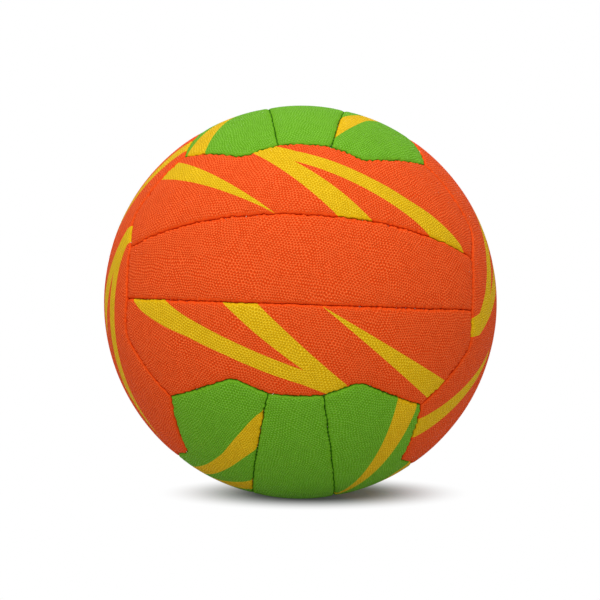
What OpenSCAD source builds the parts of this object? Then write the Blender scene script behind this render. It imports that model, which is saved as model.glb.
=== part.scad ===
/* [Ball] */
// Diameter over the crowns of the panels, with the ball blown up
ball_d = 222; // [200:1:230]
// How far the front face tips up, as the ball lies
lay_pitch = 16.4; // [-90:0.1:90]
// How far the ball leans over to its right, as it lies
lay_roll = 1.9; // [-90:0.1:90]
// How far the front face is turned towards the ball's left
lay_turn = 0.5; // [-90:0.1:90]

/* [Panel layout] */
// Width of a middle strip halfway along, as an angle at the ball's centre
strip_angle = 23.4; // [22:0.1:26]
// Width of a middle strip at its ends, as an angle across the face
strip_end_angle = 24.1; // [22:0.1:26]
// Angle from the centre of a face to the middle of its middle strip's end
end_angle = 54.2; // [53:0.1:55]
// Angle along the strip to the place where its two end seams and long seam meet
end_seam_angle = 54.5; // [53.5:0.1:56]
// Angle along the strip to the peak of an outer strip's end
peak_angle = 57.8; // [56:0.1:60]
// Angle across the strip to that peak
peak_side_angle = 29; // [26:0.1:32]
// How far from a peak its rounding begins
peak_round = 5; // [2:0.5:8]

/* [Panels] */
// Thickness of the grip skin
cover_t = 1.1; // [0.8:0.1:1.6]
// Thickness of the cloth backing
backing_t = 1.2; // [0.8:0.1:2]
// How deep the skin's rolled edge drops into the seam
seam_depth = 1.2; // [0.6:0.1:1.6]
// How far in from its edge the skin rolls over
edge_roll = 1.8; // [1.2:0.1:3]
// Gap between two turned-in edges, where the thread lies
seam_gap = 0.5; // [0.3:0.05:0.8]

/* [Thread] */
// How far the thread's middle lies above the backing's inner face
thread_lift = 0.5; // [0.4:0.1:0.8]
// Room on each side between the thread and the turned-in edges
thread_fit = 0.02; // [0:0.01:0.05]
// Length left free at the end of each run of stitches
thread_end_gap = 0.6; // [0.4:0.1:2]

/* [Bladder] */
// Wall of the rubber bladder
bladder_t = 0.7; // [0.5:0.1:1.2]
// Room between the bladder and the backing
bladder_fit = 0.1; // [0.05:0.05:0.3]

/* [Valve] */
// Diameter of the flange bonded inside the bladder
flange_d = 28; // [20:1:36]
// Thickness of the flange
flange_t = 1; // [0.6:0.1:1.6]
// Outer diameter of the sleeve that hangs into the bladder
sleeve_d = 10; // [9:0.5:12]
// Length of the sleeve below the bladder's wall
sleeve_len = 13; // [11:0.5:18]
// Diameter of the neck that passes through the bladder and the backing
neck_d = 7.6; // [7:0.1:9]
// Diameter of the nipple that shows in the skin
nipple_d = 5; // [4.8:0.1:6]
// How far the nipple's top lies below the skin
nipple_recess = 0.3; // [0.1:0.1:0.6]
// Room round the neck and the nipple
valve_fit = 0.1; // [0.05:0.05:0.3]
// Diameter of the plug's stem
stem_d = 3.8; // [3.6:0.1:4.2]
// Diameter of the plug's body
plug_d = 6.4; // [6:0.1:7]
// Length of the plug's body
plug_len = 7; // [5:0.5:8]
// Room between the plug and its housing
plug_fit = 0.05; // [0.02:0.01:0.1]
// Thickness of the lip that keeps the plug in
lip_t = 1.2; // [0.8:0.1:1.6]
// Diameter of the hole that guides the needle
needle_bore_d = 2.2; // [2:0.1:2.4]
// Depth of that hole
needle_bore_len = 7; // [5:0.5:8]
// Bevel at the mouth of that hole
mouth_bevel = 0.3; // [0.1:0.1:0.4]

/* [Colours] */
// Skin of the front, back, left and right faces
side_colour = "orangered"; // [orangered, tomato, crimson, royalblue]
// Skin of the top and bottom faces
cap_colour = "yellowgreen"; // [yellowgreen, limegreen, gold, white]

/* [Hidden] */
$fn = 128;

// Faces of the layout: name, turn from the flat layout, and the names of its two outer strips
FACES = [
    ["front", [90, 0, 0], "upper", "lower", side_colour],
    ["back", [-90, 0, 0], "lower", "upper", side_colour],
    ["left", [0, -90, 0], "rear", "front", side_colour],
    ["right", [180, -90, 0], "front", "rear", side_colour],
    ["top", [0, 0, 90], "left", "right", cap_colour],
    ["bottom", [180, 0, 90], "right", "left", cap_colour]
];
// Strips of a face: 1 is the outer strip drawn, 2 the same turned half round, 0 the middle one
STRIPS = [0, 1, 2];
VALVE_FACE = "back";

function strip_name(face, strip) = str(face[0], "_", strip == 0 ? "middle" : face[strip + 1]);

// Radii from the outside in
ball_r = ball_d / 2;
backing_out_r = ball_r - cover_t;
backing_in_r = backing_out_r - backing_t;
bladder_out_r = backing_in_r - bladder_fit;
bladder_in_r = bladder_out_r - bladder_t;
thread_d = seam_gap - 2 * thread_fit;
thread_r = backing_in_r + thread_lift;

// A wedge that a backing is cut from reaches this share of the ball's radius
wedge_share = 1.7;
// Section of the rolled edge, from the seam inwards: how far in, as shares of the roll's width,
// and how far below the ball's full radius, as shares of the seam's depth. It ends above the ball.
roll_in_shares = [0, 0.22, 1.3];
roll_drop_shares = [1, 0.4, -0.15];
// Even steps along each stretch of a panel's outline
half_seam_steps = 10;
corner_steps = 4;
peak_steps = 2;
junction_steps = 2;
half_end_steps = 2;
// Even steps of a backing's outline along half its long seam
backing_steps = 5;
// Overrun of all cuts
over = 1;

// Directions on a ball of radius 1. A strip runs along X, with its face's middle at +Z.
function unit(v) = v / norm(v);
function on_ball(along, across) = unit([tan(along), tan(across), 1]);
function toward(a, b, share) = unit(a * (1 - share) + b * share);
function arc(a, b) = acos(min(1, a * b)) * PI / 180;
function mirrored(v) = [-v[0], v[1], v[2]];
function all_but_last(list) = [for (i = [0:1:len(list) - 2]) list[i]];
function reversed(list) = [for (i = [len(list) - 1:-1:0]) list[i]];
function tail(list) = [for (i = [1:1:len(list) - 1]) list[i]];

// The same place on the long side of the neighbouring face
function on_side(v) = [v[1], v[2], v[0]];

seam_mid = on_ball(0, strip_angle / 2);
seam_end = on_ball(end_seam_angle, strip_end_angle / 2);
end_mid = on_ball(end_angle, 0);
peak = on_ball(peak_angle, peak_side_angle);
corner = unit([1, 1, 1]);

// The rounded peak, as three directions from the seam's end towards the corner
round_in = toward(peak, seam_end, peak_round / ball_r / arc(peak, seam_end));
round_out = toward(peak, corner, peak_round / ball_r / arc(peak, corner));
rounding = [round_in, unit(round_in + 2 * peak + round_out), round_out];

// Directions from a up to, but without, b, in even steps
function stretch(a, b, steps) = [for (i = [0:1:steps - 1]) toward(a, b, i / steps)];

// Half of a long seam, from its middle to its right end
function half_seam(fine) = concat(stretch(seam_mid, seam_end, fine ? half_seam_steps : backing_steps),
    [seam_end]);
// End of an outer strip, from its long seam to the corner
function outer_end(fine) = concat(
    stretch(seam_end, round_in, fine ? peak_steps : 1),
    stretch(rounding[0], rounding[1], 1),
    stretch(rounding[1], rounding[2], 1),
    stretch(round_out, corner, fine ? corner_steps : 1),
    [corner]
);
// Half of a middle strip's end, from its middle to a long seam
function middle_end(fine) = concat(stretch(end_mid, seam_end, fine ? half_end_steps : 1), [seam_end]);

// A line that starts on a strip's middle, with its mirror image before it
function both_ways(half) = concat(reversed([for (v = tail(half)) mirrored(v)]), half);
function flipped(v) = [v[0], -v[1], v[2]];

// Loops round an outer strip and a middle strip, anticlockwise seen from outside the ball
function outer_loop(fine) =
    let (
        near = both_ways(half_seam(fine)),
        right = tail(outer_end(fine)),
        half_far = [for (v = concat(middle_end(fine), tail(outer_end(fine)))) on_side(v)],
        far = reversed(all_but_last(both_ways(half_far))),
        left = [for (v = reversed(all_but_last(right))) mirrored(v)]
    )
    concat(near, right, far, left);
function middle_loop(fine) =
    let (
        far = reversed(both_ways(half_seam(fine))),
        half_end = tail(reversed(middle_end(fine))),
        right = concat([for (v = all_but_last(half_end)) flipped(v)], reversed(half_end))
    )
    concat([for (v = reversed(far)) flipped(v)], right, far, [for (v = reversed(right)) mirrored(v)]);

// A loop drawn in by a distance all round
function drawn_in(line, distance) =
    let (
        n = len(line),
        inward = [for (i = [0:1:n - 1]) unit(cross(line[i], line[(i + 1) % n]))]
    )
    [for (i = [0:1:n - 1])
        let (a = inward[(i + n - 1) % n], b = inward[i])
        unit(line[i] + (a + b) * (distance / ball_r / (1 + a * b)))];

// Solid cone from the ball's centre through loops of points, one outside the other, closed by
// a fan to the middle
module cone(loops, middle) {
    n = len(loops[0]);
    last = len(loops) - 1;
    centre = n * len(loops);
    polyhedron(
        points = concat([for (line = loops) each line], [[0, 0, 0], middle]),
        faces = [for (i = [0:1:n - 1]) let (j = (i + 1) % n) each concat(
            [[i, j, centre], [last * n + j, last * n + i, centre + 1]],
            [for (k = [0:1:last - 1]) each [
                [k * n + j, k * n + i, k * n + n + i],
                [k * n + j, k * n + n + i, k * n + n + j]
            ]]
        )]
    );
}

// Ball whose poles and join lie away from the strip at +Z
module clear_sphere(r) {
    rotate([90, 0, 0])
        sphere(r = r);
}

// A strip's outline and the direction of its middle
function strip_loop(strip, fine) = strip == 0 ? middle_loop(fine) : outer_loop(fine);
function strip_middle(strip) = strip == 0 ? [0, 0, 1] : on_ball(0, (strip_angle / 2 + end_angle) / 3);
reach = ball_r * wedge_share;

// Skin out to its rolled edges, and in to the ball's centre
module skin_block(strip) {
    rolls = [for (i = [0:1:len(roll_in_shares) - 1])
        let (line = drawn_in(strip_loop(strip, true), seam_gap / 2 + edge_roll * roll_in_shares[i]))
        line * (ball_r - seam_depth * roll_drop_shares[i])];
    above = rolls[len(rolls) - 1] * wedge_share;
    intersection() {
        clear_sphere(ball_r);
        cone(concat(rolls, [above]), strip_middle(strip) * reach);
    }
}

// Block that a backing fills, drawn in from the seam by the turned-in edge of the skin
module backing_block(strip) {
    intersection() {
        clear_sphere(backing_out_r);
        cone([drawn_in(strip_loop(strip, false), seam_gap / 2 + cover_t) * reach],
            strip_middle(strip) * reach);
    }
}

// Place of a strip on the ball, as the ball lies
module placed(face, strip) {
    rotate([-lay_pitch, lay_roll, -lay_turn])
        rotate(face[1])
            rotate([0, 0, strip == 2 ? 180 : 0])
                children();
}

module valve_place() {
    rotate([-lay_pitch, lay_roll, -lay_turn])
        rotate([-90, 0, 0])
            children();
}

function has_valve(face, strip) = face[0] == VALVE_FACE && strip == 0;

// Grip skin of one panel, with its edges turned in round the backing
module cover(face, strip) {
    color(face[4])
        placed(face, strip)
            difference() {
                skin_block(strip);
                clear_sphere(backing_in_r);
                backing_block(strip);
                if (has_valve(face, strip)) {
                    cylinder(d = nipple_d + 2 * valve_fit, h = ball_r + over);
                }
            }
}

// Cloth backing bonded inside one panel
module backing(face, strip) {
    color("ivory")
        placed(face, strip)
            difference() {
                backing_block(strip);
                clear_sphere(backing_in_r);
                if (has_valve(face, strip)) {
                    cylinder(d = neck_d + 2 * valve_fit, h = ball_r + over);
                }
            }
}

// One run of thread along a seam, between two directions
module thread_run(a, b) {
    free = thread_end_gap / thread_r * 180 / PI;
    normal = unit(cross(a, b));
    beside = cross(normal, a);
    multmatrix([
        [a[0], beside[0], normal[0], 0],
        [a[1], beside[1], normal[1], 0],
        [a[2], beside[2], normal[2], 0],
        [0, 0, 0, 1]
    ])
        rotate([0, 0, free])
            rotate_extrude(angle = arc(a, b) * 180 / PI - 2 * free)
                translate([thread_r, 0])
                    circle(d = thread_d);
}

// Thread that closes every seam from inside
module seam_thread() {
    corners = concat([on_side(corner)], [for (i = [2:-1:0]) on_side(rounding[i])],
        [on_side(seam_end), on_side(end_mid)]);
    color("saddlebrown")
        for (face = FACES, strip = [1, 2]) {
            placed(face, strip) {
                for (i = [0:1:len(corners) - 2]) {
                    thread_run(corners[i], corners[i + 1]);
                    thread_run(mirrored(corners[i]), mirrored(corners[i + 1]));
                }
                thread_run(seam_mid, seam_end);
                thread_run(seam_mid, mirrored(seam_end));
            }
        }
}

// Rubber bladder that holds the air
module bladder() {
    color("dimgray")
        valve_place()
            difference() {
                clear_sphere(bladder_out_r);
                clear_sphere(bladder_in_r);
                cylinder(d = neck_d, h = ball_r + over);
            }
}

sleeve_end = bladder_in_r - sleeve_len;
plug_start = sleeve_end + lip_t;
plug_top = plug_start + plug_len;
nipple_top = ball_r - nipple_recess;

// Moulded valve housing: flange, sleeve, neck and nipple
module valve_housing() {
    color("black")
        valve_place()
            difference() {
                union() {
                    difference() {
                        intersection() {
                            clear_sphere(bladder_in_r);
                            cylinder(d = flange_d, h = ball_r);
                        }
                        clear_sphere(bladder_in_r - flange_t);
                    }
                    translate([0, 0, sleeve_end])
                        cylinder(d = sleeve_d, h = sleeve_len - flange_t / 2);
                    translate([0, 0, bladder_in_r - flange_t / 2])
                        cylinder(d = neck_d, h = backing_out_r - bladder_in_r + flange_t / 2);
                    translate([0, 0, bladder_in_r])
                        cylinder(d = nipple_d, h = nipple_top - bladder_in_r);
                }
                translate([0, 0, sleeve_end - over])
                    cylinder(d = stem_d + 2 * plug_fit, h = ball_r);
                translate([0, 0, plug_start])
                    cylinder(d = plug_d + 2 * plug_fit, h = plug_len + plug_fit);
            }
}

// Soft plug with the needle's guide hole, held in the housing
module valve_plug() {
    color("darkslategray")
        valve_place()
            difference() {
                union() {
                    translate([0, 0, plug_start])
                        cylinder(d = plug_d, h = plug_len);
                    translate([0, 0, plug_start])
                        cylinder(d = stem_d, h = nipple_top - plug_start);
                }
                translate([0, 0, nipple_top - needle_bore_len])
                    cylinder(d = needle_bore_d, h = needle_bore_len + over);
                translate([0, 0, nipple_top - mouth_bevel])
                    cylinder(d1 = needle_bore_d, d2 = needle_bore_d + 4 * mouth_bevel, h = 2 * mouth_bevel);
            }
}

for (face = FACES, strip = STRIPS) {
    cover(face, strip);
    backing(face, strip);
}
seam_thread();
bladder();
valve_housing();
valve_plug();
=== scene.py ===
import math
import random

import bpy
import numpy as np
from mathutils import Matrix, Vector, noise
from mathutils.geometry import delaunay_2d_cdt


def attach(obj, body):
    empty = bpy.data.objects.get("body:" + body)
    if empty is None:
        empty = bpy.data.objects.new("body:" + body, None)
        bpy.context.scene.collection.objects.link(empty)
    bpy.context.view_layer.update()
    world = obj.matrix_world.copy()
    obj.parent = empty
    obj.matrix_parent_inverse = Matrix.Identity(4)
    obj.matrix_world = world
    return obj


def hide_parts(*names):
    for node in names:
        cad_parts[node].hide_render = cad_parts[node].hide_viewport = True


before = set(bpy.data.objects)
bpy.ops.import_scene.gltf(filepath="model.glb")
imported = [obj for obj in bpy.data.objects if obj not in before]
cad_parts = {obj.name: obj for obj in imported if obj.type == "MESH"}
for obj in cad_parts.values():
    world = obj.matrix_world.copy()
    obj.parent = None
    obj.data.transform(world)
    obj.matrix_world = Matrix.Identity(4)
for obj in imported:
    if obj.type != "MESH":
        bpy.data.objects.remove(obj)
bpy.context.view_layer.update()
SEED = 18
rng = random.Random(SEED)
noise.seed_set(SEED)

# All sizes are in millimetres, unless a comment says otherwise. Meshes are written in metres.
MM = 0.001

# The ball and the way it lies, as in the CAD model
BALL_R = 111.0
LAY_PITCH, LAY_ROLL, LAY_TURN = 16.4, 1.9, 0.5

# Angles of the panel layout, as in the CAD model, and the reach of the peak's rounding
STRIP_ANGLE, STRIP_END_ANGLE = 23.4, 24.1
END_ANGLE, END_SEAM_ANGLE = 54.2, 54.5
PEAK_ANGLE, PEAK_SIDE_ANGLE, PEAK_ROUND = 57.8, 29.0, 5.0
PEAK_POINTS = 9          # along that rounding
SEAM_GAP = 0.08          # the turned-in edges are pressed together

# Faces: name, turn of the flat strip onto the ball, names of the outer strips, slot of the skin
FACES = [
    ("front", (90, 0, 0), ("upper", "lower"), "skin_orange"),
    ("back", (-90, 0, 0), ("lower", "upper"), "skin_orange"),
    ("left", (0, -90, 0), ("rear", "front"), "skin_orange"),
    ("right", (180, -90, 0), ("front", "rear"), "skin_orange"),
    ("top", (0, 0, 90), ("left", "right"), "skin_green"),
    ("bottom", (180, 0, 90), ("right", "left"), "skin_green"),
]
OUTER_STRIPS = (1, 2)    # the strip drawn, and the same one turned half round
MIDDLE_CHART = 0.0       # angle across the face at which the flat map of a strip is centred
OUTER_CHART = 32.0
VALVE_PANEL = "back_middle"

# Thickness of a skin away from its edges, and the depth and width of its turned-in edge
SKIN_T = 1.0
EDGE_T = 2.28
TURN_IN = 1.2
TURN_IN_STEP = 0.12      # width over which the underside steps up beside it

# Points of a panel's mesh: rings along the seams, and a field of points away from them
ROUTE_POINTS = 200       # on each straight stretch of a seam, before they are evened out
EDGE_STEP = 0.5
EDGE_INSETS = (0, 0.14, 0.3, 0.55, 0.9, 1.4, 2.2, 3.3)
EDGE_SKIPS = (1, 1, 1, 1, 2, 3, 4, 6)
UNDER_SKIP = 6           # one point of the edge in so many has one on the underside's rings
CLEAR_SHARE = 0.97       # a ring's point nearer to the seam than this share of its inset goes
FIELD_STEP = 3.0
FIELD_MARGIN = 4.3       # from the seam to the field
FIELD_SEED = 5
UNDER_STEP = 8.0
UNDER_MARGIN = 3.2
UNDER_SEED = 6
FIELD_JITTER = 0.12      # of the field's step
MESH_TOLERANCE = 1e-6

# Shape of a skin's outside
SEAM_DROP = 1.0          # how far the skin rolls down into the seam
SEAM_ROLL = 0.36         # width of that roll
SEAM_ROLL_POWER = 0.9
PILLOW_DROP = 0.38       # broad fall of a panel towards its seams
PILLOW_WIDTH = 4.0
STITCH_PITCH = 2.8
PUCKER_DROP = 0.55       # pull of a stitch on the skin
PUCKER_WIDTH = 1.2
PUCKER_OPENING = 1.2     # how much wider the seam opens at a stitch
PULL_MEAN, PULL_LEAST, PULL_MOST = 0.6, 0.1, 1.6     # some stitches pull harder than others
WANDER = 0.2             # how far a seam wanders from its line
WANDER_FADE = 5.0
RUFFLE = 0.5             # small waves of the rolled edges
RUFFLE_WIDTH = 1.3
RUFFLE_END = 4           # widths from the seam at which the small waves end
UNEVEN = 0.08            # broad unevenness of the skin
HIGHEST = 0.1            # above the ball's radius

# Noises over the ball: length of the waves, and a shift that sets each noise apart
WANDER_NOISE = (9.0, 0.0)
RUFFLE_NOISE = (2.6, 11.0)
BROAD_PULL_NOISE = (55.0, 3.0)
FINE_PULL_NOISE = (3.5, 5.0)
UNEVEN_NOISE = (24.0, 7.0)

# Hole in the skin for the valve's nipple, with rings of points round it
VALVE_HOLE_R = 2.6
VALVE_HOLE_POINTS = 40
VALVE_RINGS = (0, 0.12, 0.35, 0.8)
VALVE_MARGIN = 1.7       # from the hole to the other points
VALVE_UNDER_MARGIN = 3.0
VALVE_DROP = 0.3         # fall of the skin at the hole
VALVE_DROP_WIDTH = 0.25

# Printed stripes on an outer strip, as corners on the flat plane that touches the ball at its
# face's middle, in ball radii along and across the strip. Each polygon runs past the seams.
SPIKE = [(-1.9, 1.2), (-0.113, 0.213), (-1.5, 1.31)]
FORK = [
    (-0.277, 0.645), (0.20, 0.188), (0.378, 0.188), (0.19, 0.353), (-0.042, 0.542),
    (0.62, 0.28), (0.80, 0.192), (1.26, 0.172), (1.21, 0.222), (1.13, 0.267), (1.04, 0.30),
    (0.92, 0.334), (0.79, 0.368), (0.60, 0.408), (0.367, 0.483), (0.144, 0.567), (-0.04, 0.634),
    (-0.166, 0.70), (-0.205, 0.775), (-0.26, 0.88), (-0.37, 0.86), (-0.298, 0.701),
]

# How far the print lies off its place on some panels: along and across the strip in millimetres,
# and a turn in degrees about the middle of the strip
PRINT_SHIFTS = {
    "front_upper": (-0.9, -0.3, -0.1),
    "front_lower": (0.5, 0, 0.6),
    "left_front": (-0.2, -5.3, 0.1),
    "right_front": (2.1, -10.9, 0.5),
    "top_left": (11.5, -4.0, 0.2),
    "top_right": (3.1, -5.6, 0.5),
    "bottom_right": (14.8, -6.3, 0.8),
    "bottom_left": (-3.5, 0.8, -0.8),
}
NO_SHIFT = (0, 0, 0)
PRINT_MIDDLE = 0.6       # that middle, in ball radii across the flat plane

# Points along the print's edges
PRINT_STEP = 0.2         # between the points that are tried
SHORTEST_PRINT = 1.6     # a shorter stretch inside a panel is left out
PRINT_NEAREST = 0.12     # least distance between two points kept
PRINT_EDGE_GAP = 0.08    # from the seam to the first one kept
# Other points keep away from them by a share of their distance from the seam, within limits
PRINT_MARGIN_SHARE, PRINT_MARGIN_LEAST, PRINT_MARGIN_MOST = 0.3, 0.12, 1.3

# Thread across the seams
STITCH_R = 0.16
STITCH_SIDES = 5
STITCH_HALF = 0.6        # how far a stitch reaches across the seam
STITCH_SLANT = 0.5       # and along it
STITCH_ACROSS = np.array([-1, -0.45, 0.45, 1])
STITCH_DEPTH = 1.9
STITCH_UNEVEN = (-0.1, 0.25)
STITCH_SAG = 0.5
STITCH_END_GAP = 0.8     # free length at a seam's end
TANGENT_STEP = 0.4       # from a stitch to the point that shows the way along its seam
LOOSE_DEPTH = 0.55       # of the few stitches that stand out
LOOSE_SHARE = 0.01

# Pimples of the skin: pitch, directions of their rows in degrees, and a noise that bends the rows
# (scale per mm, reach in mm). The rows also slip past one another, by a noise of their own (scale
# per mm, radians). The sum of the rows' waves is a pimple's height, between the two levels.
PIMPLE_PITCH = 1.5
PIMPLE_ROWS = (20, 80, 140)
PIMPLE_BEND = (0.045, 3.5)
PIMPLE_SLIP = (0.2, 6.5)
PIMPLE_LEVELS = (-1.3, 2.2)
PIMPLE_HEIGHT = 0.28
PIMPLES_FROM, PIMPLES_FULL = 0.5, 1.6    # from the seam
TEXTURE_REACH = 200      # how far each panel's pattern may be shifted, at random
PAINTED_SHADE_FROM, PAINTED_SHADE_TO = 0.05, 0.45      # fade of the painted shade in the crease beside a seam

# Finer looks of the skin, with the noises' scales per mm
FINE_SCALE, FINE_DETAIL, FINE_HEIGHT, FINE_ROUGHNESS = 2.6, 3.0, 0.12, 0.08
PATCH_SCALE, PATCH_DETAIL, PATCH_SHADE = 0.03, 3.0, 0.965
GROOVE_ROUGHNESS, TIP_ROUGHNESS = 0.74, 0.6
SKIN_SPECULAR = 0.04
NOISE_LEVELS = (0.3, 0.7)                # between which a noise's values mostly lie

# Skins: material, then colour beside the seams, painted shade between the pimples, a painted highlight on
# them, and painted shade in the crease
SKIN_COLOURS = {
    "skin_orange": ("skin_orange", (237, 81, 22), (214, 59, 5), (252, 110, 53), (201, 49, 0)),
    "skin_green": ("skin_green", (108, 171, 35), (91, 154, 18), (126, 189, 60), (60, 124, 5)),
    "stripe": ("skin_yellow", (226, 180, 15), (208, 162, 2), (243, 203, 42), (162, 115, 2)),
}

# Rubber and thread: material, colour, roughness, grain's scale per metre and its height
THREAD_LOOK = ("thread", (240, 212, 176), 0.8, 2500, 0.05)
RUBBER_LOOKS = {
    "bladder": ("bladder_rubber", (34, 34, 34), 0.5, 900, 0.04),
    "valve_housing": ("valve_rubber", (28, 28, 28), 0.45, 1500, 0.03),
    "valve_plug": ("plug_rubber", (44, 44, 42), 0.55, 1800, 0.04),
}
GRAIN_DETAIL, GRAIN_SPREAD, GRAIN_ROUGHNESS, GRAIN_STRENGTH = 4.0, 0.1, 0.06, 0.5

# Cloth of the backings: pitch of the yarns, and shade and roughness between and on them
CLOTH_COLOUR = (217, 209, 189)
CLOTH_PITCH, CLOTH_DISTORTION, CLOTH_SHADE = 0.6, 0.6, 0.72
CLOTH_GAP_ROUGHNESS, CLOTH_YARN_ROUGHNESS = 0.9, 0.78
CLOTH_STRENGTH, CLOTH_HEIGHT = 0.6, 0.1
WAVE_SCALE = math.pi / 10                # scale of a wave texture times the pitch of its bands

# Floor and its shadow, in metres: the shadow fades out to white round the ball
FLOOR_REACH = 6.0
FLOOR_GREY = 0.66
SHADOW_START, SHADOW_END, SHADOW_CENTRE = 0.03, 0.092, 0.008
SHADOW_STRETCH, SHADOW_GLOW = 2.25, 0.03

# Light of the surroundings, and square lamps that face the ball: place and side in metres, watts
WORLD_FILL = 0.45
LAMPS = {
    "key": ((-0.18, -1.0, 1.22), 1.1, 18.0),
    "top": ((0.1, 0.3, 1.7), 1.4, 9),
}

# Camera: distance in metres, angles in degrees, lens and sensor, and the picture's offset in pixels
CAMERA_AWAY, CAMERA_UP, CAMERA_RIGHT = 0.6829, 5.21, 0.12
CAMERA_LENS, CAMERA_SENSOR = 71.6, 36.0
PICTURE_SIDE, PIXELS_RIGHT, PIXELS_DOWN = 600, 0.35, 2.15


def unit(v):
    v = np.asarray(v, float)
    return v / np.linalg.norm(v, axis=-1, keepdims=True)


def on_ball(along, across):
    """Direction at two angles from a face's middle. A strip runs along X, with its face at +Z."""
    return unit([math.tan(math.radians(along)), math.tan(math.radians(across)), 1])


def mirrored(v):
    return v * (-1, 1, 1)


def flipped(v):
    return v * (1, -1, 1)


def on_side(v):
    """The same place on the long side of the neighbouring face."""
    return v[:, [1, 2, 0]]


def toward(a, b, mm):
    """Direction that lies some millimetres from a on the way to b."""
    angle = math.acos(float(a @ b))
    return unit(a + (b - a) * (mm / BALL_R / angle))


def rounded(a, peak, b, reach):
    """Directions from a to b past a rounded peak."""
    before, after = toward(peak, a, reach), toward(peak, b, reach)
    t = np.linspace(0, 1, PEAK_POINTS)[:, None]
    bend = (1 - t) ** 2 * before + 2 * t * (1 - t) * peak + t ** 2 * after
    return np.vstack([a, unit(bend), b])


def on_line(line, run, at):
    """Directions at some distances along a line, whose points lie at the distances in run."""
    return unit(np.stack([np.interp(at, run, line[:, k]) for k in range(3)], 1))


def even(route):
    """Even points along great circles through some directions, and how far along each one lies."""
    t = np.linspace(0, 1, ROUTE_POINTS)[:, None]
    line = unit(np.vstack([a + (b - a) * t for a, b in zip(route, route[1:])]))
    run = np.concatenate([[0], np.cumsum(np.linalg.norm(np.diff(line, axis=0), axis=1))]) * BALL_R
    at = np.linspace(0, run[-1], round(run[-1] / EDGE_STEP) + 1)
    return on_line(line, run, at), at


# Halves of the seams, each point with its distance from the seam's middle
SEAM_MID = on_ball(0, STRIP_ANGLE / 2)
SEAM_END = on_ball(END_SEAM_ANGLE, STRIP_END_ANGLE / 2)
END_MID = on_ball(END_ANGLE, 0)
PEAK = on_ball(PEAK_ANGLE, PEAK_SIDE_ANGLE)
CORNER = unit([1, 1, 1])
HALF_LONG, HALF_LONG_RUN = even([SEAM_MID, SEAM_END])
HALF_END, HALF_END_RUN = even([END_MID, SEAM_END])
OUTER_END, OUTER_END_RUN = even(rounded(SEAM_END, PEAK, CORNER, PEAK_ROUND))
OUTER_END_RUN = OUTER_END_RUN + HALF_END_RUN[-1]

# Half of an outer strip's side away from its face's middle
HALF_FAR = on_side(np.vstack([HALF_END, OUTER_END[1:]]))
HALF_FAR_RUN = np.concatenate([HALF_END_RUN, OUTER_END_RUN[1:]])


def both_ways(half, run):
    """A line with its mirror image before it."""
    return np.vstack([mirrored(half[::-1]), half[1:]]), np.concatenate([run[::-1], run[1:]])


def outer_outline():
    """Loop round an outer strip, anticlockwise seen from outside, and each point's run."""
    near, near_run = both_ways(HALF_LONG, HALF_LONG_RUN)
    right, right_run = OUTER_END[1:], OUTER_END_RUN[1:]
    far, far_run = both_ways(HALF_FAR, HALF_FAR_RUN)
    loop = np.vstack([near, right, far[::-1][1:], mirrored(right[::-1])[1:]])
    return loop, np.concatenate([near_run, right_run, far_run[::-1][1:], right_run[::-1][1:]])


def middle_outline():
    """Loop round a middle strip, anticlockwise seen from outside, and each point's run."""
    near, near_run = both_ways(HALF_LONG, HALF_LONG_RUN)
    right = np.vstack([flipped(HALF_END[::-1])[1:], HALF_END[1:]])
    right_run = np.concatenate([HALF_END_RUN[::-1][1:], HALF_END_RUN[1:]])
    loop = np.vstack([flipped(near), right, near[::-1][1:], mirrored(right[::-1])[1:]])
    return loop, np.concatenate([near_run, right_run, near_run[::-1][1:], right_run[::-1][1:]])


def drawn_in(loop, mm):
    """A loop drawn in by some millimetres all round."""
    inward = unit(np.cross(loop, np.roll(loop, -1, axis=0)))
    before = np.roll(inward, 1, axis=0)
    share = mm / BALL_R / (1 + np.sum(before * inward, axis=1, keepdims=True))
    return unit(loop + (before + inward) * share)


def from_loop(points, loop, most=400):
    """Distance in millimetres from each point to a loop, and where on it the loop is nearest.
    Only so many points at a time are compared, to save memory."""
    ab = np.roll(loop, -1, axis=0) - loop
    found, place = np.empty(len(points)), np.empty(len(points))
    for start in range(0, len(points), most):
        p = points[start:start + most, None]
        t = np.clip(np.sum((p - loop) * ab, axis=2) / np.sum(ab * ab, axis=1), 0, 1)
        far = np.linalg.norm(p - loop - ab * t[..., None], axis=2)
        best = np.argmin(far, axis=1)
        rows = np.arange(len(best))
        found[start:start + most] = far[rows, best] * BALL_R
        place[start:start + most] = best + t[rows, best]
    return found, place


def within(points, polygon):
    """Which flat points lie inside a polygon."""
    x, y = points[:, 0, None], points[:, 1, None]
    ax, ay = polygon[:, 0], polygon[:, 1]
    bx, by = np.roll(ax, -1), np.roll(ay, -1)
    crosses = (ay > y) != (by > y)
    with np.errstate(divide="ignore", invalid="ignore"):
        left_of = x < (bx - ax) * (y - ay) / (by - ay) + ax
    return np.sum(crosses & left_of, axis=1) % 2 == 1


class Chart:
    """Flat map of a panel, in millimetres, about a direction across the strip."""

    def __init__(self, across):
        self.z = on_ball(0, across)
        self.x = np.array([1.0, 0, 0])
        self.y = np.cross(self.z, self.x)

    def flat(self, v):
        u = np.arctan2(v @ self.x, v @ self.z)
        return np.stack([u, np.arcsin(np.clip(v @ self.y, -1, 1))], 1) * BALL_R

    def raised(self, p):
        u, v = p[:, 0, None] / BALL_R, p[:, 1, None] / BALL_R
        return self.y * np.sin(v) + np.cos(v) * (self.x * np.sin(u) + self.z * np.cos(u))

    def from_middle(self, v):
        """Distance in millimetres from the map's middle."""
        return np.linalg.norm(v - self.z, axis=1) * BALL_R


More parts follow.
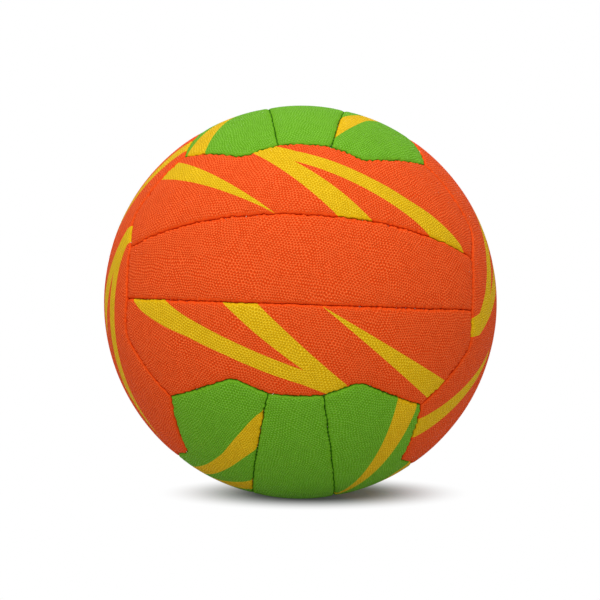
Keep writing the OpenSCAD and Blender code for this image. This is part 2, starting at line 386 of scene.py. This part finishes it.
def grid(low, high, step, seed):
    """Triangular grid of flat points over a box, each a little off its place."""
    row_step = step * math.sqrt(3) / 2
    rows = []
    for k in range(int((high[1] - low[1]) / row_step) + 2):
        x = np.arange(low[0] + (k % 2) * step / 2, high[0] + step, step)
        rows.append(np.stack([x, np.full(len(x), low[1] + k * row_step)], 1))
    points = np.vstack(rows)
    jitter = np.random.default_rng(seed).uniform(-FIELD_JITTER, FIELD_JITTER, points.shape)
    return points + jitter * step


def field(chart, edge, step, margin, seed):
    """Directions spread evenly inside a panel, and away from its edge by a margin."""
    flat_edge = chart.flat(edge)
    flat = grid(flat_edge.min(0), flat_edge.max(0), step, seed)
    points = chart.raised(flat[within(flat, flat_edge)])
    return points[from_loop(points, edge)[0] > margin]


def ring_inside(edge, inset, skip):
    """Ring along a panel's edge, without the points that come too near another stretch of it."""
    ring = drawn_in(edge, inset)[::skip]
    return ring[from_loop(ring, edge)[0] > inset * CLEAR_SHARE]


def valve_rings(chart):
    """Rings of directions round the valve's hole, the first one on its rim."""
    turned = np.arange(VALVE_HOLE_POINTS) / VALVE_HOLE_POINTS * 2 * math.pi
    circle = np.stack([np.cos(turned), np.sin(turned)], 1)
    return [chart.raised(circle * (VALVE_HOLE_R + inset)) for inset in VALVE_RINGS]


def shifted(corners, along, across, degrees):
    """Corners of a print that lies off its place."""
    c, s = math.cos(math.radians(degrees)), math.sin(math.radians(degrees))
    return [(x * c - (y - PRINT_MIDDLE) * s + along / BALL_R,
             x * s + (y - PRINT_MIDDLE) * c + PRINT_MIDDLE + across / BALL_R) for x, y in corners]


def print_lines(corners, edge, chart):
    """Stretches of a print's outline inside a panel, each as the two points of the panel's edge
    where it starts and ends, and the directions between them."""
    corners = unit(np.array([(x, y, 1) for x, y in corners]))
    points, bends = [], []
    for a, b in zip(corners, np.roll(corners, -1, axis=0)):
        steps = max(2, int(np.linalg.norm(b - a) * BALL_R / PRINT_STEP))
        points.append(unit(a + (b - a) * (np.arange(steps) / steps)[:, None]))
        bends += [True] + [False] * (steps - 1)
    points, bends = np.vstack(points), np.array(bends)
    inside = within(chart.flat(points), chart.flat(edge))
    outside = int(np.argmin(inside))
    points, bends, inside = (np.roll(v, -outside, axis=0) for v in (points, bends, inside))
    inside = np.append(inside, False)
    far, place = from_loop(points, edge)
    lines = []
    for first in np.flatnonzero(inside[1:] & ~inside[:-1]) + 1:
        last = first + int(np.argmin(inside[first:])) - 1
        if (last - first) * PRINT_STEP < SHORTEST_PRINT:
            continue
        ends = [int(round(place[i])) % len(edge) for i in (first, last)]
        chosen, level, since = [], 0, 0.0
        for i in range(first + 1, last):
            since += np.linalg.norm(points[i] - points[i - 1]) * BALL_R
            now = int(np.searchsorted(EDGE_INSETS, far[i]))
            due = since > FIELD_STEP or bends[i] or (now != level and since > PRINT_NEAREST)
            if due and far[i] > PRINT_EDGE_GAP:
                chosen.append(points[i])
                level, since = now, 0.0
        lines.append((ends, np.array(chosen)))
    return lines


def clear_of_print(points, marks, edge):
    """The points that keep their distance from the marks along the print's edges."""
    near = np.full(len(points), np.inf)
    for mark in marks:
        near = np.minimum(near, np.linalg.norm(points - mark, axis=1) * BALL_R)
    margin = from_loop(points, edge)[0] * PRINT_MARGIN_SHARE
    return points[near > np.clip(margin, PRINT_MARGIN_LEAST, PRINT_MARGIN_MOST)]


def flat_mesh(points, loops, lines):
    """Triangles between flat points inside the first loop and outside the others. They keep the
    loops and lines as edges."""
    edges = []
    for loop in loops:
        edges += list(zip(loop, loop[1:] + loop[:1]))
    for line in lines:
        edges += list(zip(line, line[1:]))
    made = delaunay_2d_cdt([Vector(p) for p in points], edges, [], 0, MESH_TOLERANCE, True)
    if len(made[0]) != len(points) or any(len(o) != 1 for o in made[3]):
        raise ValueError("the panel's lines cross")
    source = np.array([o[0] for o in made[3]])
    faces = source[np.array([tuple(f) for f in made[2]])]
    centres = points[faces].mean(axis=1)
    keep = within(centres, points[loops[0]])
    for hole in loops[1:]:
        keep &= ~within(centres, points[hole])
    faces = faces[keep]
    a, b, c = (points[faces[:, k]] for k in range(3))
    turned = np.cross(b - a, c - a) < 0
    faces[turned] = faces[turned][:, ::-1]
    return faces


def wall_faces(high, low):
    """Triangles between two loops of as many points, the first one above."""
    made = []
    for i in range(len(high)):
        j = (i + 1) % len(high)
        made += [(high[j], high[i], low[i]), (high[j], low[i], low[j])]
    return made


def indices(start, count):
    return list(range(start, start + count))


def outside_of(chart, edge, lines, rings):
    """A skin's outside: its directions, triangles and loops, the edge's first."""
    marks = np.vstack([np.empty((0, 3)), *(chosen for _, chosen in lines)])
    body = [ring_inside(edge, inset, skip) for inset, skip in zip(EDGE_INSETS[1:], EDGE_SKIPS[1:])]
    body = np.vstack([*body, field(chart, edge, FIELD_STEP, FIELD_MARGIN, FIELD_SEED)])
    body = clear_of_print(body, marks, edge)
    if rings:
        body = body[chart.from_middle(body) > VALVE_HOLE_R + VALVE_MARGIN]
    points = np.vstack([edge, body, marks, *rings])
    paths, at = [], len(edge) + len(body)
    for ends, chosen in lines:
        paths.append([ends[0], *indices(at, len(chosen)), ends[1]])
        at += len(chosen)
    loops = [indices(0, len(edge))]
    if rings:
        loops.append(indices(at, VALVE_HOLE_POINTS))
    return points, flat_mesh(chart.flat(points), loops, paths), loops


def underside_of(chart, edge, rings):
    """A skin's underside: its directions, triangles and loops, the edge's first. The turned-in edge
    reaches as far as the first ring, and the underside steps up between the two rings."""
    under = [edge]
    for inset in (TURN_IN, TURN_IN + TURN_IN_STEP):
        under.append(ring_inside(edge, inset, UNDER_SKIP))
    inner = field(chart, edge, UNDER_STEP, UNDER_MARGIN, UNDER_SEED)
    loops = [indices(0, len(edge))]
    if rings:
        inner = inner[chart.from_middle(inner) > VALVE_HOLE_R + VALVE_UNDER_MARGIN]
        under += [inner, rings[0]]
        loops.append(indices(sum(map(len, under[:-1])), VALVE_HOLE_POINTS))
    else:
        under.append(inner)
    points = np.vstack(under)
    return points, flat_mesh(chart.flat(points), loops, [])[:, ::-1], loops


def panel(outline, run, across, stripes, hole=False):
    """Shape of a panel's skin as directions, distances from the seam and the hole, and triangles."""
    chart = Chart(across)
    edge = drawn_in(outline, SEAM_GAP / 2)
    count = len(edge)
    lines = [line for corners in stripes for line in print_lines(corners, edge, chart)]
    rings = valve_rings(chart) if hole else []
    top, top_faces, top_loops = outside_of(chart, edge, lines, rings)
    under, under_faces, under_loops = underside_of(chart, edge, rings)
    size = len(top)
    rim, *inner_rims = [(high, [i + size for i in low]) for high, low in zip(top_loops, under_loops)]
    walls = wall_faces(*rim)
    for high, low in inner_rims:
        walls += wall_faces(low, high)

    far, place = from_loop(top, edge)
    far[:count] = 0
    place[:count] = np.arange(count)
    under_far = from_loop(under, edge)[0]
    points = np.vstack([top, under])
    return {
        "points": points,
        "flat": chart.flat(points),
        "faces": np.vstack([top_faces, under_faces + size, np.array(walls)]),
        "top": size,
        "top_faces": len(top_faces),
        "far": far,
        "along": np.interp(place, np.arange(count + 1), np.append(run, run[0])),
        "from_hole": chart.from_middle(top) - VALVE_HOLE_R if hole else np.full(size, np.inf),
        "under_far": under_far,
        "under_depth": np.where(under_far > TURN_IN + TURN_IN_STEP / 2, SKIN_T, EDGE_T),
        "stripes": stripes,
    }


def turn(angles):
    """Rotation about X, then Y, then Z."""
    x, y, z = (Matrix.Rotation(math.radians(a), 3, axis) for a, axis in zip(angles, "XYZ"))
    return np.array(z @ y @ x)


LAY = turn((-LAY_PITCH, LAY_ROLL, -LAY_TURN))


def strip_place(face_turn, strip):
    """Rotation of a flat strip to its place on the ball as it lies."""
    return LAY @ turn(face_turn) @ turn((0, 0, 180 if strip == OUTER_STRIPS[1] else 0))


def noise_at(points, length, shift):
    """Smooth random vectors at directions on the ball."""
    places = points * BALL_R
    return np.array([noise.noise_vector(Vector(p) / length + Vector((shift, 0, 0))) for p in places])


def wander(points, fade):
    """Directions moved sideways along with the seams near them."""
    moved = noise_at(points, *WANDER_NOISE)
    return unit(points + moved * (fade * WANDER / BALL_R)[:, None])


def ruffled(points, far):
    """Directions moved by the small waves of an edge, and how far the edge rises there."""
    fade = np.exp(-far / RUFFLE_WIDTH) * RUFFLE
    moved = np.zeros((len(points), 3))
    near = far < RUFFLE_WIDTH * RUFFLE_END
    moved[near] = noise_at(points[near], *RUFFLE_NOISE)
    moved *= fade[:, None]
    return unit(points + moved / BALL_R), moved.sum(axis=1)


def outside_drop(shape, points):
    """How far each point of a skin's outside lies below the ball's radius, and its distance from
    the seam, counted shorter where a stitch opens the seam."""
    pull = noise_at(points, *BROAD_PULL_NOISE)[:, 0] + noise_at(points, *FINE_PULL_NOISE)[:, 0]
    pull = np.clip(PULL_MEAN + pull, PULL_LEAST, PULL_MOST)
    stitch = ((1 + np.cos(shape["along"] / STITCH_PITCH * 2 * math.pi)) / 2) ** 2
    far = shape["far"]
    crease = far / (1 + PUCKER_OPENING * pull * stitch)
    drop = SEAM_DROP * np.exp(-((crease / SEAM_ROLL) ** SEAM_ROLL_POWER))
    drop += PILLOW_DROP * np.exp(-far / PILLOW_WIDTH)
    drop += PUCKER_DROP * pull * stitch * np.exp(-far / PUCKER_WIDTH)
    drop += VALVE_DROP * np.exp(-np.clip(shape["from_hole"], 0, None) / VALVE_DROP_WIDTH)
    drop += UNEVEN * noise_at(points, *UNEVEN_NOISE)[:, 0]
    return drop, crease


def striped_faces(shape):
    """1 for each face of a panel that lies in a stripe, else 0."""
    outside = shape["faces"][:shape["top_faces"]]
    centres = shape["points"][outside].mean(axis=1)
    centres = centres[:, :2] / centres[:, 2:]
    marked = np.zeros(len(shape["faces"]), np.int32)
    for stripe in shape["stripes"]:
        marked[:len(outside)] |= within(centres, np.array(stripe)).astype(np.int32)
    return marked


def linked(name, data):
    """A new object in the scene."""
    made = bpy.data.objects.new(name, data)
    bpy.context.scene.collection.objects.link(made)
    return made


def new_mesh(name, points, faces):
    """Mesh from points in millimetres."""
    mesh = bpy.data.meshes.new(name)
    mesh.from_pydata((points * MM).tolist(), [], faces)
    return mesh


def skin_object(name, shape, place, slot_name, skins):
    """One panel's skin as a closed mesh on the ball. Its skin attribute holds the place in the
    pattern of pimples and the distance from the seam, which the material reads."""
    size = shape["top"]
    far = np.concatenate([shape["far"], shape["under_far"]])
    points = wander(shape["points"] @ place.T, np.exp(-far / WANDER_FADE))
    points, rise = ruffled(points, far)
    drop, crease = outside_drop(shape, points[:size])
    radius = np.concatenate([BALL_R - drop + rise[:size], BALL_R - shape["under_depth"]])
    radius = np.minimum(radius, BALL_R + HIGHEST)

    mesh = new_mesh(name, points * radius[:, None], shape["faces"].tolist())
    shift = [rng.uniform(-TEXTURE_REACH, TEXTURE_REACH) for _ in range(2)]
    far[:size] = crease
    skin = mesh.attributes.new("skin", "FLOAT_VECTOR", "POINT")
    values = np.column_stack([shape["flat"] + shift, far])
    skin.data.foreach_set("vector", values.astype(np.float32).ravel())
    mesh.materials.append(skins[slot_name])
    if shape["stripes"]:
        mesh.materials.append(skins["stripe"])
        mesh.polygons.foreach_set("material_index", striped_faces(shape))
    mesh.polygons.foreach_set("use_smooth", [True] * len(mesh.polygons))
    mesh.update()
    return linked(name, mesh)


def tube_faces(rings, sides):
    """Faces of a closed tube whose points run ring after ring."""
    faces = []
    for first in range(0, (rings - 1) * sides, sides):
        for s in range(sides):
            i, j = first + s, first + (s + 1) % sides
            faces.append((i, j, j + sides, i + sides))
    last = (rings - 1) * sides
    return faces + [tuple(reversed(range(sides))), tuple(range(last, last + sides))]


def stitch_points(centre, tangent, beside, deep):
    """Points of one stitch, a tube that crosses the seam and sags at its ends."""
    radius = BALL_R - deep - STITCH_SAG * STITCH_ACROSS ** 2
    direction = beside * STITCH_HALF + tangent * STITCH_SLANT
    route = centre * radius[:, None] + direction * STITCH_ACROSS[:, None]
    other = np.cross(centre, unit(direction))
    turns = np.arange(STITCH_SIDES) / STITCH_SIDES * 2 * math.pi
    return [point + (centre * math.sin(a) + other * math.cos(a)) * STITCH_R
            for point in route for a in turns]


def stitches():
    """Every stitch that crosses a seam, as one object of short tubes."""
    halves = [(HALF_LONG, HALF_LONG_RUN, 0), (HALF_FAR, HALF_FAR_RUN, 0)]
    halves += [(mirrored(line), run, 1) for line, run, _ in halves]
    one_tube = tube_faces(len(STITCH_ACROSS), STITCH_SIDES)
    points, faces = [], []
    places = [strip_place(face[1], strip) for face in FACES for strip in OUTER_STRIPS]
    for place in places:
        for line, run, first_stitch in halves:
            at = np.arange(first_stitch * STITCH_PITCH, run[-1] - STITCH_END_GAP, STITCH_PITCH)
            centres = on_line(line, run, at)
            tangents = unit(on_line(line, run, at + TANGENT_STEP) - centres) @ place.T
            centres = wander(centres @ place.T, np.ones(len(at)))
            for centre, tangent, beside in zip(centres, tangents, np.cross(centres, tangents)):
                deep = STITCH_DEPTH + rng.uniform(*STITCH_UNEVEN)
                if rng.random() < LOOSE_SHARE:
                    deep = LOOSE_DEPTH
                faces += [tuple(len(points) + i for i in face) for face in one_tube]
                points += stitch_points(centre, tangent, beside, deep)
    mesh = new_mesh("stitches", np.array(points), faces)
    mesh.polygons.foreach_set("use_smooth", [True] * len(mesh.polygons))
    return linked("stitches", mesh)


def feed(tree, socket, value):
    """Link a socket to another one, or set its constant."""
    if isinstance(value, bpy.types.NodeSocket):
        tree.links.new(value, socket)
    else:
        socket.default_value = value


def add(tree, kind, settings=(), *values, **inputs):
    """A node with some properties set, and with its sockets fed in their order or by name."""
    node = tree.nodes.new(kind)
    for key, value in dict(settings).items():
        setattr(node, key, value)
    for socket, value in zip(node.inputs, values):
        feed(tree, socket, value)
    for key, value in inputs.items():
        feed(tree, node.inputs[key], value)
    return node


def maths(tree, operation, *values):
    return add(tree, "ShaderNodeMath", {"operation": operation}, *values).outputs[0]


def vectors(tree, operation, *values):
    """Vector maths. The result may be the node's vector or its value."""
    return add(tree, "ShaderNodeVectorMath", {"operation": operation}, *values).outputs


def ranged(tree, value, low, high, to_low=0.0, to_high=1.0, smooth=True):
    """A value from one range carried over to another one."""
    limits = {"From Min": low, "From Max": high, "To Min": to_low, "To Max": to_high}
    kind = {"interpolation_type": "SMOOTHSTEP" if smooth else "LINEAR"}
    return add(tree, "ShaderNodeMapRange", kind, Value=value, **limits).outputs["Result"]


def blended(tree, factor, first, second):
    """Mix of two colours."""
    node = add(tree, "ShaderNodeMix", {"data_type": "RGBA"})
    for socket, value in zip((node.inputs[0], node.inputs[6], node.inputs[7]), (factor, first, second)):
        feed(tree, socket, value)
    return node.outputs[2]


def flat_noise(tree, place, scale, detail=0.0):
    return add(tree, "ShaderNodeTexNoise", {"noise_dimensions": "2D"}, Vector=place, Scale=scale,
               Detail=detail).outputs


def linear(colour, shade=1.0):
    """Linear value of a colour given as 0 to 255, and made darker or lighter by a share."""
    made = []
    for c in colour:
        c = min(255, c * shade) / 255
        made.append(c / 12.92 if c <= 0.04045 else ((c + 0.055) / 1.055) ** 2.4)
    return (*made, 1.0)


def new_material(name):
    """Material with its node tree, its shader and the socket for its surface."""
    material = bpy.data.materials.new(name)
    material.use_nodes = True
    tree = material.node_tree
    tree.nodes.clear()
    surface = add(tree, "ShaderNodeOutputMaterial").inputs["Surface"]
    shader = add(tree, "ShaderNodeBsdfPrincipled")
    tree.links.new(shader.outputs["BSDF"], surface)
    return material, tree, shader, surface


def pimples(tree, place):
    """Height of the pimples, from 0 to 1: three sets of waves whose rows bend and slip."""
    scale, reach = PIMPLE_BEND
    wave = flat_noise(tree, place, scale)["Color"]
    bent = vectors(tree, "MULTIPLY_ADD", wave, (reach, reach, 0.0), place)["Vector"]
    scale, reach = PIMPLE_SLIP
    slips = add(tree, "ShaderNodeSeparateColor", (), flat_noise(tree, place, scale)["Color"]).outputs
    per_mm = 4 * math.pi / math.sqrt(3) / PIMPLE_PITCH
    rows = []
    for angle, slip in zip(PIMPLE_ROWS, slips):
        turned = math.radians(angle)
        row = vectors(tree, "DOT_PRODUCT", bent, (math.cos(turned), math.sin(turned), 0.0))["Value"]
        slip = maths(tree, "MULTIPLY", slip, reach)
        rows.append(maths(tree, "COSINE", maths(tree, "MULTIPLY_ADD", row, per_mm, slip)))
    total = maths(tree, "ADD", maths(tree, "ADD", rows[0], rows[1]), rows[2])
    return ranged(tree, total, *PIMPLE_LEVELS)


def skin_material(name, colour, groove_shade, tip_highlight, crease):
    """Pimpled rubber skin: pimples in wavy rows, smooth beside the seams; painted shade between and a
    painted highlight on the pimples, painted shade in the crease.
    """
    material, tree, shader, _ = new_material(name)
    skin = add(tree, "ShaderNodeAttribute", {"attribute_name": "skin"}).outputs["Vector"]
    along, across, from_seam = add(tree, "ShaderNodeSeparateXYZ", (), skin).outputs
    place = add(tree, "ShaderNodeCombineXYZ", (), along, across).outputs[0]
    open_skin = ranged(tree, from_seam, PIMPLES_FROM, PIMPLES_FULL)
    pimple = maths(tree, "MULTIPLY", pimples(tree, place), open_skin)

    patches = flat_noise(tree, place, PATCH_SCALE, PATCH_DETAIL)["Fac"]
    base = blended(tree, ranged(tree, patches, *NOISE_LEVELS), linear(colour),
                   linear(colour, PATCH_SHADE))
    # Painted shade between the pimples and a painted highlight on their tops, on the skin away from the
    # seams
    shade = blended(tree, pimple, blended(tree, open_skin, base, linear(groove_shade)), linear(tip_highlight))
    # Painted shade: a darker colour in the crease beside a seam, fading out away from it
    out_of_painted_shade = ranged(tree, from_seam, PAINTED_SHADE_FROM, PAINTED_SHADE_TO)
    feed(tree, shader.inputs["Base Color"], blended(tree, out_of_painted_shade, linear(crease), shade))

    fine = flat_noise(tree, place, FINE_SCALE, FINE_DETAIL)["Fac"]
    rough = ranged(tree, pimple, 0.0, 1.0, GROOVE_ROUGHNESS, TIP_ROUGHNESS, smooth=False)
    feed(tree, shader.inputs["Roughness"], maths(tree, "MULTIPLY_ADD", fine, FINE_ROUGHNESS, rough))
    height = maths(tree, "MULTIPLY_ADD", fine, FINE_HEIGHT, pimple)
    bump = add(tree, "ShaderNodeBump", Strength=1.0, Distance=PIMPLE_HEIGHT * MM, Height=height)
    feed(tree, shader.inputs["Normal"], bump.outputs["Normal"])
    shader.inputs["Specular IOR Level"].default_value = SKIN_SPECULAR
    return material


def plain_material(name, colour, roughness, scale, height):
    """Fine-grained moulded or spun material, slightly mottled."""
    material, tree, shader, _ = new_material(name)
    place = add(tree, "ShaderNodeTexCoord").outputs["Object"]
    grain = add(tree, "ShaderNodeTexNoise", Vector=place, Scale=scale, Detail=GRAIN_DETAIL).outputs["Fac"]
    tint = blended(tree, grain, linear(colour, 1 - GRAIN_SPREAD), linear(colour, 1 + GRAIN_SPREAD))
    feed(tree, shader.inputs["Base Color"], tint)
    rough = ranged(tree, grain, *NOISE_LEVELS, roughness - GRAIN_ROUGHNESS, roughness + GRAIN_ROUGHNESS)
    feed(tree, shader.inputs["Roughness"], rough)
    bump = add(tree, "ShaderNodeBump", Strength=GRAIN_STRENGTH, Distance=height * MM, Height=grain)
    feed(tree, shader.inputs["Normal"], bump.outputs["Normal"])
    return material


def cloth_material(name):
    """Plain weave of two crossing sets of yarns."""
    material, tree, shader, _ = new_material(name)
    place = add(tree, "ShaderNodeTexCoord").outputs["Object"]
    waves = [add(tree, "ShaderNodeTexWave", {"bands_direction": axis}, Vector=place,
                 Scale=WAVE_SCALE / (CLOTH_PITCH * MM), Distortion=CLOTH_DISTORTION).outputs["Fac"]
             for axis in ("X", "Z")]
    weave = maths(tree, "MULTIPLY", *waves)
    tint = blended(tree, weave, linear(CLOTH_COLOUR, CLOTH_SHADE), linear(CLOTH_COLOUR))
    feed(tree, shader.inputs["Base Color"], tint)
    rough = ranged(tree, weave, 0, 1, CLOTH_GAP_ROUGHNESS, CLOTH_YARN_ROUGHNESS)
    feed(tree, shader.inputs["Roughness"], rough)
    bump = add(tree, "ShaderNodeBump", Strength=CLOTH_STRENGTH, Distance=CLOTH_HEIGHT * MM, Height=weave)
    feed(tree, shader.inputs["Normal"], bump.outputs["Normal"])
    return material


def seen_directly(tree):
    """1 for the camera's rays and those that gloss or glass pass on, else 0."""
    path = add(tree, "ShaderNodeLightPath").outputs
    total = maths(tree, "ADD", path["Is Camera Ray"], path["Is Glossy Ray"])
    total = maths(tree, "ADD", total, path["Is Transmission Ray"])
    return maths(tree, "MINIMUM", total, 1.0)


def glow(tree, strength):
    """White light of its own."""
    return add(tree, "ShaderNodeEmission", Color=(1, 1, 1, 1), Strength=strength).outputs[0]


def mixed(tree, factor, first, second):
    """Mix of two shaders."""
    return add(tree, "ShaderNodeMixShader", (), factor, first, second).outputs[0]


def floor_material():
    """Floor that shows only the ball's shadow: white further out, and see-through from below."""
    material, tree, shader, surface = new_material("floor")
    shader.inputs["Base Color"].default_value = (FLOOR_GREY, FLOOR_GREY, FLOOR_GREY, 1)
    shader.inputs["Roughness"].default_value = 1.0
    shader.inputs["Specular IOR Level"].default_value = 0.0
    seen = seen_directly(tree)
    faint = glow(tree, maths(tree, "MULTIPLY", seen, SHADOW_GLOW))
    shadow = add(tree, "ShaderNodeAddShader", (), shader.outputs[0], faint).outputs[0]
    place = add(tree, "ShaderNodeTexCoord").outputs["Object"]
    stretched = vectors(tree, "MULTIPLY_ADD", place, (1.0, SHADOW_STRETCH, 0.0),
                        (-SHADOW_CENTRE, 0.0, 0.0))["Vector"]
    away = vectors(tree, "LENGTH", stretched)["Value"]
    away = ranged(tree, away, SHADOW_START, SHADOW_END)
    from_above = mixed(tree, maths(tree, "MULTIPLY", seen, away), shadow, glow(tree, 1.0))
    side = add(tree, "ShaderNodeNewGeometry").outputs["Backfacing"]
    see_through = add(tree, "ShaderNodeBsdfTransparent").outputs[0]
    feed(tree, surface, mixed(tree, side, from_above, see_through))
    return material


def make_floor():
    """Square under the ball's lowest point."""
    r, z = FLOOR_REACH / MM, -BALL_R
    mesh = new_mesh("floor", np.array([(-r, -r, z), (r, -r, z), (r, r, z), (-r, r, z)]), [(0, 1, 2, 3)])
    mesh.materials.append(floor_material())
    return linked("floor", mesh)


def make_world():
    """Even fill light that the camera sees as white."""
    world = bpy.data.worlds.new("world")
    bpy.context.scene.world = world
    world.use_nodes = True
    tree = world.node_tree
    tree.nodes.clear()
    fill, white = (
        add(tree, "ShaderNodeBackground", Color=(1, 1, 1, 1), Strength=strength).outputs[0]
        for strength in (WORLD_FILL, 1.0)
    )
    add(tree, "ShaderNodeOutputWorld", Surface=mixed(tree, seen_directly(tree), fill, white))


def make_lamps():
    """Soft lamps turned to the ball's centre."""
    for name, (place, side, power) in LAMPS.items():
        data = bpy.data.lights.new(name, "AREA")
        data.size = side
        data.energy = power
        made = linked(name, data)
        made.location = place
        made.rotation_euler = (-Vector(place)).to_track_quat("-Z", "Y").to_euler()


def make_camera():
    """Camera that looks at the ball's centre, from a little above it."""
    data = bpy.data.cameras.new("camera")
    data.lens = CAMERA_LENS
    data.sensor_width = CAMERA_SENSOR
    data.shift_x = -PIXELS_RIGHT / PICTURE_SIDE
    data.shift_y = PIXELS_DOWN / PICTURE_SIDE
    up, right = math.radians(CAMERA_UP), math.radians(CAMERA_RIGHT)
    made = linked("camera", data)
    made.location = (CAMERA_AWAY * math.cos(up) * math.sin(right),
                     -CAMERA_AWAY * math.cos(up) * math.cos(right), CAMERA_AWAY * math.sin(up))
    made.rotation_euler = (math.radians(90) - up, 0, right)
    return made


# Skins over the covers, with one shape for all outer strips whose print lies alike
skins = {key: skin_material(*look) for key, look in SKIN_COLOURS.items()}
middle = panel(*middle_outline(), MIDDLE_CHART, [])
middle_with_hole = panel(*middle_outline(), MIDDLE_CHART, [], hole=True)
outers = {}
for face_name, face_turn, side_names, slot_name in FACES:
    for strip, strip_name in enumerate(("middle", *side_names)):
        name = f"{face_name}_{strip_name}"
        shape = middle_with_hole if name == VALVE_PANEL else middle
        if strip in OUTER_STRIPS:
            shift = PRINT_SHIFTS.get(name, NO_SHIFT)
            if shift not in outers:
                stripes = [shifted(corners, *shift) for corners in (SPIKE, FORK)]
                outers[shift] = panel(*outer_outline(), OUTER_CHART, stripes)
            shape = outers[shift]
        piece = skin_object(f"skin_{name}", shape, strip_place(face_turn, strip), slot_name, skins)
        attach(piece, "root")
        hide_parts(f"cover_{name}")

sewn = stitches()
sewn.data.materials.append(plain_material(*THREAD_LOOK))
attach(sewn, "root")
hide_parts("seam_thread")

# The inner pieces stay as they are in the CAD model, with materials of their own
cloth = cloth_material("cloth")
rubbers = {node_name: plain_material(*look) for node_name, look in RUBBER_LOOKS.items()}
for node_name, node_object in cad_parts.items():
    if node_name.startswith("cover_") or node_name == "seam_thread":
        continue
    for slot in node_object.material_slots:
        slot.material = rubbers.get(node_name, cloth)

floor = make_floor()
make_world()
make_lamps()
bpy.context.scene.camera = make_camera()
bpy.context.scene.view_settings.view_transform = "Standard"

bpy.context.view_layer.update()
